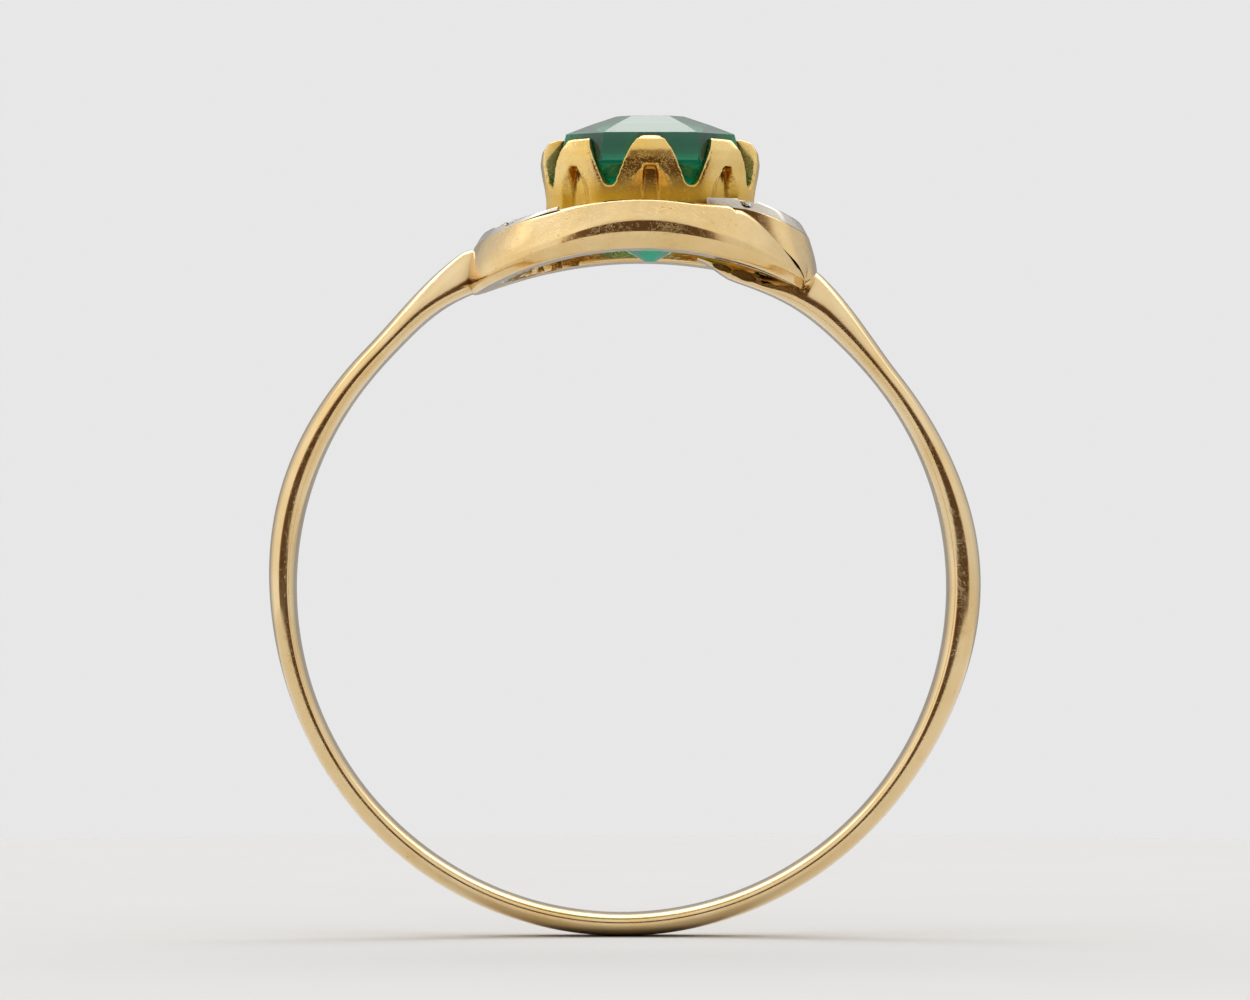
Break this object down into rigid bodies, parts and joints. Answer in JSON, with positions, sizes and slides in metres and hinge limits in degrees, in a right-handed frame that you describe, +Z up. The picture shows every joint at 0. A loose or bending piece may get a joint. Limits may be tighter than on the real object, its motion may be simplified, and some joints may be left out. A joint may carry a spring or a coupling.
{
  "type": "engagement ring",
  "caption": "Gold finger ring with two swirling arms faced in platinum and rose-cut diamonds round a claw-set step-cut emerald.",
  "frame": {"origin": "centre of the finger bore, half way along its width", "axes": "+Y along the finger away from the viewer, +X to the right, +Z up to the stone"},
  "size_m": [0.0186, 0.0102, 0.0214],
  "materials": {
    "shank_gold": "worn polished yellow gold",
    "arm_gold": "worn polished yellow gold",
    "collet_gold": "polished yellow gold, darker in the gaps",
    "platinum": "worn grey platinum with dark patina",
    "emerald": "polished green gemstone",
    "diamond": "polished colourless gemstone"
  },
  "bodies": {
    "root": {"shank": "shank_gold", "front_arm": "arm_gold", "back_arm": "arm_gold", "front_facing": "platinum", "back_facing": "platinum", "collet": "collet_gold", "emerald": "emerald", "front_diamond_1": "diamond", "front_diamond_2": "diamond", "front_diamond_3": "diamond", "front_diamond_4": "diamond", "front_diamond_5": "diamond", "front_diamond_6": "diamond", "front_diamond_7": "diamond", "back_diamond_1": "diamond", "back_diamond_2": "diamond", "back_diamond_3": "diamond", "back_diamond_4": "diamond", "back_diamond_5": "diamond", "back_diamond_6": "diamond", "back_diamond_7": "diamond"}
  },
  "joints": []
}
